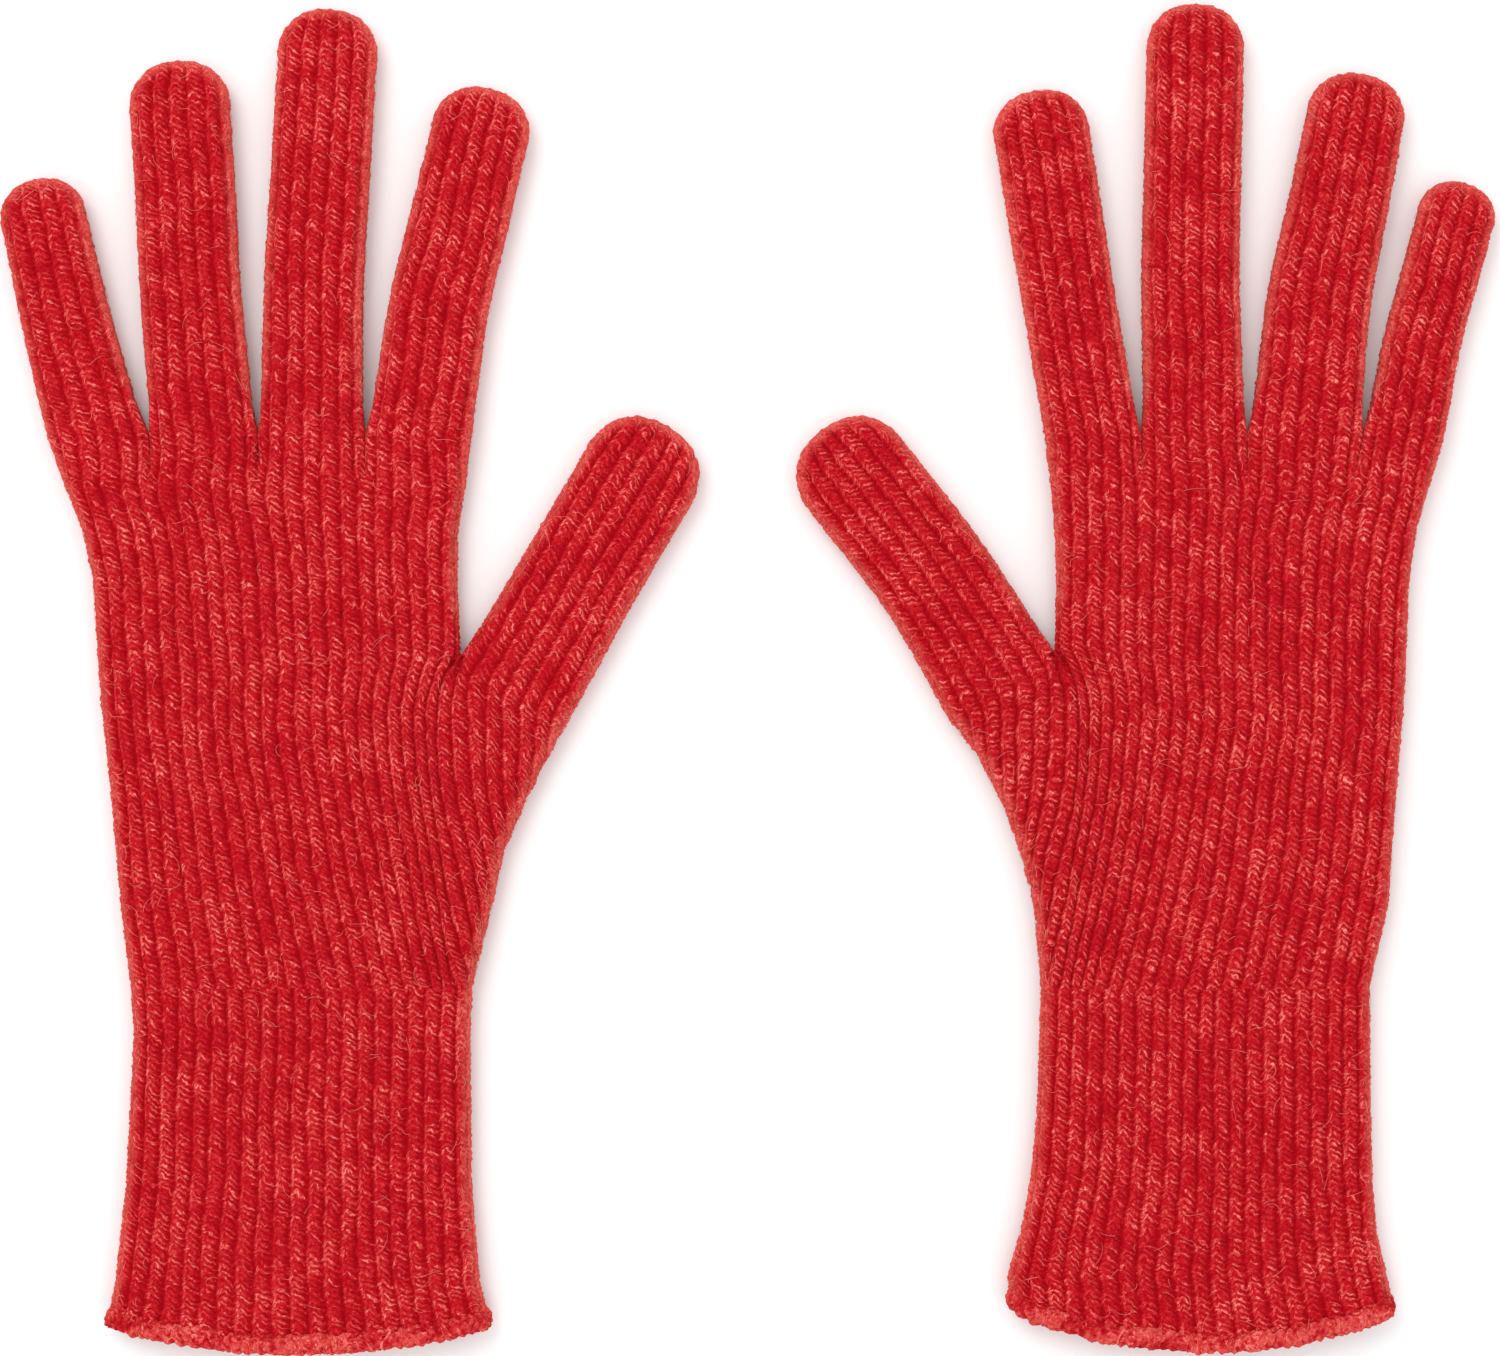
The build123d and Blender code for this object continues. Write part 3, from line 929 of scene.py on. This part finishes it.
def cast_on_edge(glove, cuff, material):
    """The rolled edge round the mouth: a lumpy ring of small loops."""
    around, across = CUFF_RIBS * SAMPLES_PER_CAST_ON_RIB, SAMPLES_ROUND_HEM
    base, normal = cuff.grid[0], cuff.normals[0]
    down = unit(np.cross(np.roll(base, -1, axis=0) - np.roll(base, 1, axis=0), normal))
    at = np.linspace(0, len(base), around, endpoint=False)
    point, out, down = (round_ring(values, at) for values in (base, normal, down))
    down = unit(down * [1, 1, 0])
    rib = at / len(base) * 2 * CUFF_RIBS

    turn = np.linspace(0, 2 * math.pi, across, endpoint=False)[None]
    high, wide = squarish(np.cos(turn)), squarish(np.sin(turn))
    centre = point - out * (HEM_THICK / 2 - HEM_PROUD) + down * (HEM / 2 - HEM_OVERLAP)

    def ring_at(grow):
        tall = (high * (HEM / 2 + HEM_OVERLAP + grow))[..., None]
        thick = (wide * (HEM_THICK / 2 + 0.8 * grow))[..., None]
        return centre[:, None] + down[:, None] * tall + out[:, None] * thick

    plain = np.moveaxis(ring_at(np.zeros((around, across))) * [glove.side, 1, 1], 2, 0)
    x, y = round_edges(*plain)
    loop = LOOPS_PER_RIB * rib[:, None] + 0.7 * ripple(x, y, 6, 21) - LOOP_LEAN * np.cos(turn)
    gap = np.abs((loop % 1) * 2 - 1) ** 1.4
    rough = np.random.default_rng(31 + glove.side).normal(0, ROUGH, (around, across))
    grow = 0.1 - 0.22 * gap + ripples(x, y, HEM_LUMPS) + rough
    points = ring_at(grow)
    points[..., 2] = np.clip(points[..., 2], JUST_INSIDE, THICK - JUST_INSIDE)

    i, j = np.meshgrid(np.arange(around), np.arange(across), indexing="ij")
    i2, j2 = (i + 1) % around, (j + 1) % across
    corners = (i * across + j, i2 * across + j, i2 * across + j2, i * across + j2)
    faces = outward(glove, [np.stack(corners, axis=2).reshape(-1, 4)])
    obj = add_mesh(glove, glove.node("cast_on_edge"), points.reshape(-1, 3), faces, material)
    around_yarn = np.broadcast_to(turn, loop.shape)
    # painted shade and sheen: the edge is coloured darker in the dents between its loops and lighter
    # coral where it bulges out
    knit = np.stack([loop, around_yarn, 1.6 * grow - 0.35], axis=2).reshape(-1, 3)
    rim = np.clip(HEM_SHEEN + 1.2 * grow, 0.05, 0.85)
    write_yarn(obj.data, knit[faces[0].ravel()], rim)
    return obj


# ---- yarn

class Nodes:
    """Adds nodes to a material and links their inputs."""

    def __init__(self, name):
        self.material = bpy.data.materials.new(name)
        self.material.use_nodes = True
        self.tree = self.material.node_tree
        self.shader = self.tree.nodes["Principled BSDF"]

    def add(self, kind, inputs=(), output=0, **settings):
        node = self.tree.nodes.new(kind)
        for key, value in settings.items():
            setattr(node, key, value)
        for key, value in dict(inputs).items():
            self.put(node.inputs[key], value)
        return node.outputs[output]

    def put(self, socket, value):
        if isinstance(value, bpy.types.NodeSocket):
            self.tree.links.new(value, socket)
        else:
            socket.default_value = value

    def math(self, operation, a, b=0.0, c=0.0):
        return self.add("ShaderNodeMath", {0: a, 1: b, 2: c}, operation=operation)

    def times(self, a, b, *more):
        product = self.math("MULTIPLY", a, b)
        return self.times(product, *more) if more else product

    def times_add(self, a, b, c):
        return self.math("MULTIPLY_ADD", a, b, c)

    def plus(self, a, b):
        return self.math("ADD", a, b)

    def minus(self, a, b):
        return self.math("SUBTRACT", a, b)

    def range(self, value, low, high, to_low=0.0, to_high=1.0, eased=False):
        return self.add(
            "ShaderNodeMapRange",
            {0: value, 1: low, 2: high, 3: to_low, 4: to_high},
            interpolation_type="SMOOTHSTEP" if eased else "LINEAR",
        )

    def vector(self, x, y, z=0.0):
        return self.add("ShaderNodeCombineXYZ", {0: x, 1: y, 2: z})

    def noise(self, vector, scale, detail=2.0, roughness=0.6):
        inputs = {"Vector": vector, "Scale": scale, "Detail": detail, "Roughness": roughness}
        return self.add("ShaderNodeTexNoise", inputs)

    def mix_colour(self, share, a, b):
        node = self.tree.nodes.new("ShaderNodeMix")
        node.data_type = "RGBA"
        self.put(node.inputs[0], share)
        self.put(node.inputs[6], a)
        self.put(node.inputs[7], b)
        return node.outputs[2]

    def ramp(self, value, stops):
        node = self.tree.nodes.new("ShaderNodeValToRGB")
        self.put(node.inputs[0], value)
        elements = node.color_ramp.elements
        while len(elements) < len(stops):
            elements.new(1.0)
        for element, (at, colour) in zip(elements, stops):
            element.position = at
            element.color = (*colour, 1.0)
        return node.outputs[0]


YARN_STOPS = [
    (0.00, (0.37, 0.0008, 0.0055)),
    (0.25, (0.48, 0.0035, 0.0120)),
    (0.50, (0.57, 0.0180, 0.0240)),
    (0.75, (0.71, 0.0760, 0.0680)),
    (1.00, (0.90, 0.2500, 0.2100)),
]
# painted sheen: the light coral of the fuzzy silhouette edges
FUZZ_SHEEN = (0.74, 0.1250, 0.1000, 1.0)
HAIR_AND_HIGHLIGHT = (0.90, 0.2700, 0.2200, 1.0)
DEPTH_SHADE_TONES = (-1.3, -0.15, -0.06, 0.36)  # painted shade in the valleys: from this depth to that, the tone goes from this to that
# how much lighter the crowns and thin legs are coloured: painted highlight and marl
MARL_AND_HIGHLIGHT_TONE = 0.42
BUMP_M = 0.0006
WOOL = {
    "Roughness": 0.92,
    "Specular IOR Level": 0.05,
    "Sheen Weight": 0.10,
    "Sheen Roughness": 0.5,
    "Sheen Tint": (1.0, 0.30, 0.25, 1.0),
}


def stitch_strokes(n, rib, course, position, loops):
    """The two legs of each stitch, a thin steep one and a wide slanting one: the place across the
    rib, the number of the leg, and the count of strokes along it."""
    jitter = n.minus(n.noise(position, 650.0, detail=1.0), 0.5)
    course = n.times_add(jitter, 1.1, course)
    r = n.math("FRACT", rib)
    on_wide = n.range(r, 0.33, 0.38, eased=True)
    steep = n.times_add(r, -THIN_SLOPE, n.plus(course, THIN_SLOPE * THIN_LEG))
    slant = n.times_add(r, WIDE_SLOPE, n.plus(course, -WIDE_SLOPE * WIDE_LEG))
    if loops:
        stroke = n.times_add(n.noise(position, 450.0), 4.0, rib)
    else:
        stroke = n.plus(steep, n.times(n.minus(slant, steep), on_wide))
    leg = n.plus(n.times(n.math("FLOOR", rib), 2.0), n.math("ROUND", on_wide))
    return r, leg, stroke


def yarn_material(name, seed, loops=False):
    """Marled red wool. The knit attribute says where on the stitches a point is."""
    n = Nodes(name)
    knit = n.add("ShaderNodeAttribute", output=1, attribute_name="knit")
    split = n.tree.nodes.new("ShaderNodeSeparateXYZ")
    n.put(split.inputs[0], knit)
    rib, course, depth = split.outputs
    rim = n.add("ShaderNodeAttribute", output=2, attribute_name="rim")
    position = n.add("ShaderNodeTexCoord", output=3)
    r, leg, stroke = stitch_strokes(n, rib, course, position, loops)

    number = n.math("FLOOR", n.plus(stroke, 0.5))
    place = n.vector(leg, number, seed)
    stitch = n.add("ShaderNodeTexWhiteNoise", {"Vector": place}, noise_dimensions="3D")
    wave = n.math("COSINE", n.times(stroke, 2 * math.pi))
    crown = n.range(wave, -0.6, 1.0)
    place = n.vector(n.times(r, 1.6), n.times(stroke, 3.2), leg)
    plies = n.noise(place, 1.0, detail=3.0)
    place = n.vector(n.times(r, 4.5), n.times(stroke, 5.5), leg)
    fibres = n.noise(place, 1.0, detail=2.0)
    patches = n.noise(position, 110.0, detail=3.0)
    specks = n.noise(position, 1700.0, detail=2.0, roughness=0.7)

    # painted highlight and marl: the crowns of the strokes and the thin leg are coloured lighter,
    # partly for light hairs of the marl and partly for the light that falls on these raised parts
    marl = n.times_add(patches, 0.6, n.times(stitch, 0.5))
    marl = n.range(marl, 0.35, 0.75, 0.35, 1.35)
    from_thin_leg = n.math("ABSOLUTE", n.minus(r, 0.19))
    thin_leg = n.range(from_thin_leg, 0.13, 0.05, eased=True)
    light = n.math("MAXIMUM", n.times(crown, 0.85), n.times(thin_leg, 0.85))
    light = n.times(light, n.range(fibres, 0.3, 0.6, 0.35, 1.25), marl)
    # painted shade: the deeper the knit's face lies, the darker its tone, so the valleys between the
    # ribs are coloured darker
    tone = n.times_add(light, MARL_AND_HIGHLIGHT_TONE, n.range(depth, *DEPTH_SHADE_TONES))
    for source, amount in ((plies, 0.95), (fibres, 0.85), (patches, 0.55), (specks, 1.1)):
        tone = n.times_add(n.minus(source, 0.5), amount, tone)
    colour = n.ramp(tone, YARN_STOPS)
    # painted sheen: towards a silhouette edge the colour goes to light coral, as fuzz looks in grazing
    # light, with less of it in the valleys
    fuzz_sheen = n.times(n.times(rim, 0.9), n.range(specks, 0.35, 0.62, 0.25, 1.0))
    fuzz_sheen = n.times(fuzz_sheen, n.range(depth, -1.0, -0.35, 0.45, 1.0))
    colour = n.mix_colour(fuzz_sheen, colour, FUZZ_SHEEN)
    # painted highlight and own colour: the loose hairs are light coral, partly the marl's pale hairs
    # and partly light painted on so that the thin tubes look evenly lit
    n.put(n.shader.inputs["Base Color"], n.mix_colour(n.range(rim, 1.05, 1.3), colour, HAIR_AND_HIGHLIGHT))

    strokes = n.times(n.times(wave, 0.22), n.minus(1.0, rim))
    height = n.times_add(fibres, 0.4, n.times(specks, 0.6))
    height = n.plus(n.times_add(plies, 0.5, height), strokes)
    relief = n.add("ShaderNodeBump", {"Strength": 0.6, "Distance": BUMP_M, "Height": height})
    n.put(n.shader.inputs["Normal"], relief)
    for socket, value in WOOL.items():
        n.put(n.shader.inputs[socket], value)
    return n.material


MATERIALS = {
    "hand_knit": yarn_material("red_marl_knit_hand", 1.0),
    "finger_knit": yarn_material("red_marl_knit_fingers", 2.0),
    "cuff_knit": yarn_material("red_marl_knit_cuff", 3.0),
    "cast_on_edge": yarn_material("red_marl_cast_on_edge", 4.0, loops=True),
}


# ---- both gloves

def place(glove, obj, node, slot_name, body):
    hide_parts(glove.node(node))
    if body:
        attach(obj, glove.node(body))


def bend(glove, obj, bodies, start, onward, reach):
    """Finds the ends of the stretch of fabric from a fold's point onward, and bakes the piece's
    transform into its mesh; the fold is not spread over it.
    """
    ends = [start, np.asarray(start) + np.asarray(onward) * reach]
    start, end = (tuple(np.array([glove.side * u, y, HALF]) * MM) for u, y in ends)
    glove.node(bodies[0])
    glove.node(bodies[1])
    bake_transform(obj)


def bend_finger(glove, obj, finger, part, section):
    stretches, folds = finger_names(finger)
    k = stretches.index(part)
    point, _, onward = glove.fold(f"{finger}_{folds[k]}")
    parent = f"{finger}_{stretches[k - 1]}" if k else "hand"
    length = np.ptp(section.grid[:, 0] @ [*onward, 0])
    bend(glove, obj, (parent, f"{finger}_{part}"), point, onward, min(BLEND, 0.9 * length))


def all_sections(glove):
    """Every section of a glove by its CAD node's name."""
    upper, lower, thumb_root, finger_roots = hand_sections(glove)
    named = {"cuff": cuff_section(glove), "lower_hand": lower, "upper_hand": upper}
    fingers = [(name, finger_roots[name], FINGER_RIBS[name]) for name in FINGERS]
    fingers.append(("thumb", (*thumb_root, PALM_RIBS + 0.5), THUMB_RIBS))
    for finger, (a, b, first_rib), ribs in fingers:
        for part, section in finger_sections(glove, finger, (a, b), ribs, first_rib).items():
            named[f"{finger}_{part}"] = section
    for section in named.values():
        section.grid = section.base()
        section.normals = grid_normals(section.grid)
    average_at_joins(list(named.values()))
    return named


def build_glove(hand):
    glove = Glove(hand)
    sections = all_sections(glove)
    for number, (name, section) in enumerate(sections.items()):
        hundred = 2 + glove.side
        points = shape_section(glove, section, 100 * hundred + number)
        finger, _, part = name.partition("_")
        is_finger = finger in NEIGHBOURS
        slot_name = "finger_knit" if is_finger else SLOTS[name]
        seed = 1000 * hundred + number
        obj = make_piece(glove, glove.node(f"{name}_knit"), section, points, MATERIALS[slot_name], seed)
        body = f"{finger}_tip" if part == "closure" else BODIES.get(name)
        place(glove, obj, name, slot_name, body)
        if name == "cuff":
            bend(glove, obj, ("hand", "cuff"), glove.wrist, (0, -1), CUFF_BLEND)
        elif not body:
            bend_finger(glove, obj, finger, part, section)
    edge = cast_on_edge(glove, sections["cuff"], MATERIALS["cast_on_edge"])
    place(glove, edge, "cuff_edge", "cast_on_edge", body="cuff")


SLOTS = {"cuff": "cuff_knit", "lower_hand": "hand_knit", "upper_hand": "hand_knit"}
BODIES = {"lower_hand": "hand", "upper_hand": "hand"}

for hand in HANDS:
    build_glove(hand)


# ---- floor, light and camera

def floor():
    half, z = 4.0, -0.0003
    corners = [(-half, -half, z), (half, -half, z), (half, half, z), (-half, half, z)]
    mesh = bpy.data.meshes.new("floor")
    mesh.from_pydata(corners, [], [(0, 1, 2, 3)])
    material = bpy.data.materials.new("white_paper")
    material.use_nodes = True
    shader = material.node_tree.nodes["Principled BSDF"]
    shader.inputs["Base Color"].default_value = (0.93, 0.93, 0.93, 1)
    shader.inputs["Roughness"].default_value = 0.95
    shader.inputs["Specular IOR Level"].default_value = 0.1
    mesh.materials.append(material)
    add_object("floor", mesh)


def key_light(location, size, energy):
    light = bpy.data.lights.new("key", "AREA")
    light.shape = "DISK"
    light.size, light.energy = size, energy
    obj = add_object("key", light)
    obj.location = location
    obj.rotation_euler = (-Vector(location)).to_track_quat("-Z", "Y").to_euler()


def white_world(strength):
    world = bpy.data.worlds.new("studio")
    world.use_nodes = True
    background = world.node_tree.nodes["Background"]
    background.inputs["Color"].default_value = (1, 1, 1, 1)
    background.inputs["Strength"].default_value = strength
    bpy.context.scene.world = world


def camera(location, lens):
    data = bpy.data.cameras.new("camera")
    data.lens, data.sensor_width = lens, 36
    data.clip_start, data.clip_end = 0.01, 20
    obj = add_object("camera", data)
    obj.location = location
    bpy.context.scene.camera = obj


floor()
key_light(location=(-0.55, 0.75, 1.25), size=0.9, energy=6)
white_world(strength=1.1)
bpy.context.scene.view_settings.view_transform = "Standard"
camera(location=(0.00054, -0.00011, 0.7655), lens=85)
